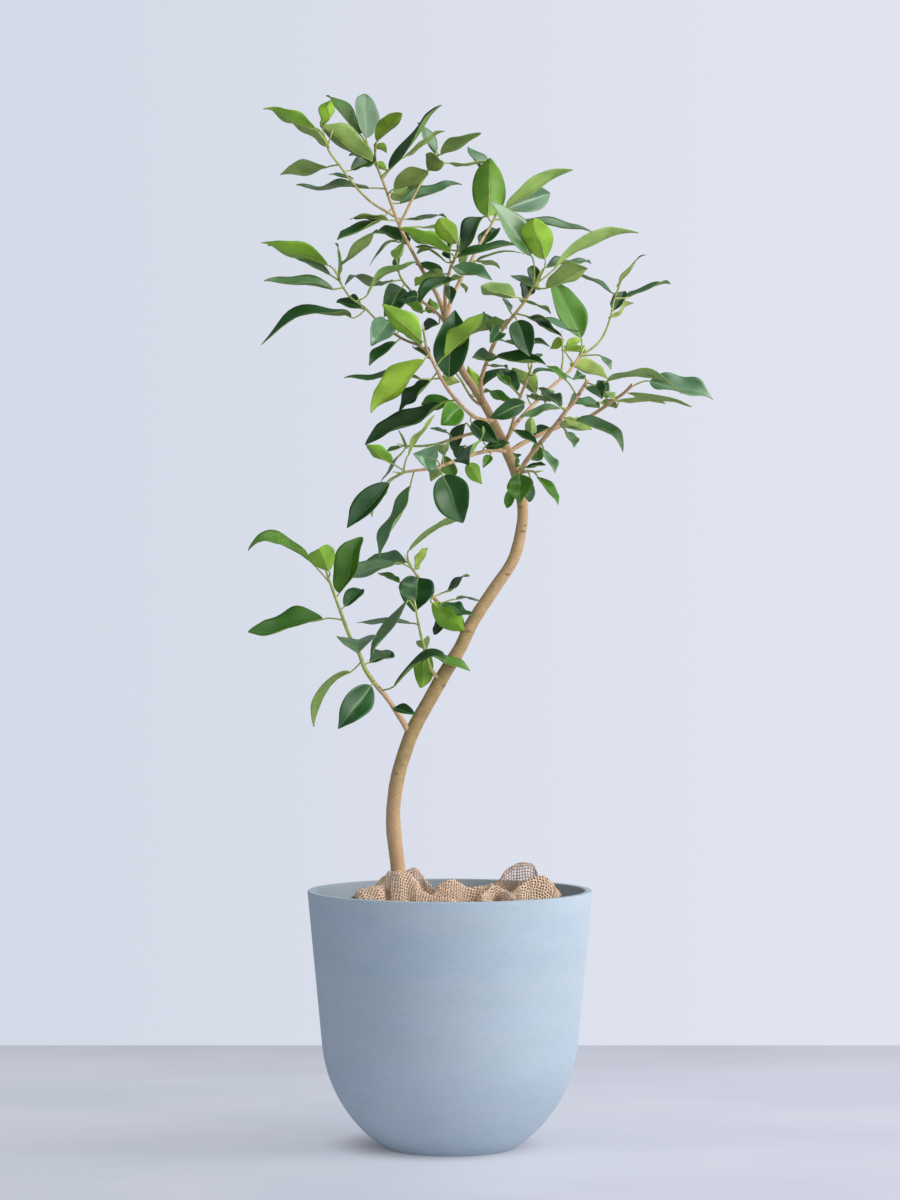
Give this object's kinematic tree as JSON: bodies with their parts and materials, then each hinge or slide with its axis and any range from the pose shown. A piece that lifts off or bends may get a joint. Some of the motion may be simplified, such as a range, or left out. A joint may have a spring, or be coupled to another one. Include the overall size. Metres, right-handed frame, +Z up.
{
  "type": "potted rusty fig",
  "caption": "Young rusty fig tree with a bent trunk and leafy branches, in a round-bottomed matt pot of soil covered with hessian.",
  "frame": {"origin": "middle of the pot's flat foot, on the surface that the pot stands on", "axes": "+Z up the plant, +X to the right of the picture's view, +Y away from its viewer"},
  "size_m": [0.4628, 0.3138, 1.0618],
  "materials": {
    "pot": "matte",
    "soil": "matte",
    "hessian": "matte",
    "bark": "matte",
    "leaf": "satin"
  },
  "bodies": {
    "root": {"pot": "pot", "soil": "soil", "hessian_cover": "hessian", "trunk": "bark", "branch_top": "leaf", "branch_top_middle": "leaf", "branch_top_right": "leaf", "twig_fork_left": "leaf", "branch_upper_right": "leaf", "twig_middle_right": "leaf", "branch_right_back": "leaf", "branch_right_front": "leaf", "branch_right_long": "leaf", "branch_left_high": "leaf", "branch_left_middle": "leaf", "branch_left_low": "leaf", "twig_middle": "leaf", "spur_trunk": "leaf", "branch_low_left": "leaf", "branch_low_middle": "leaf", "branch_low_inner": "leaf"}
  },
  "joints": []
}
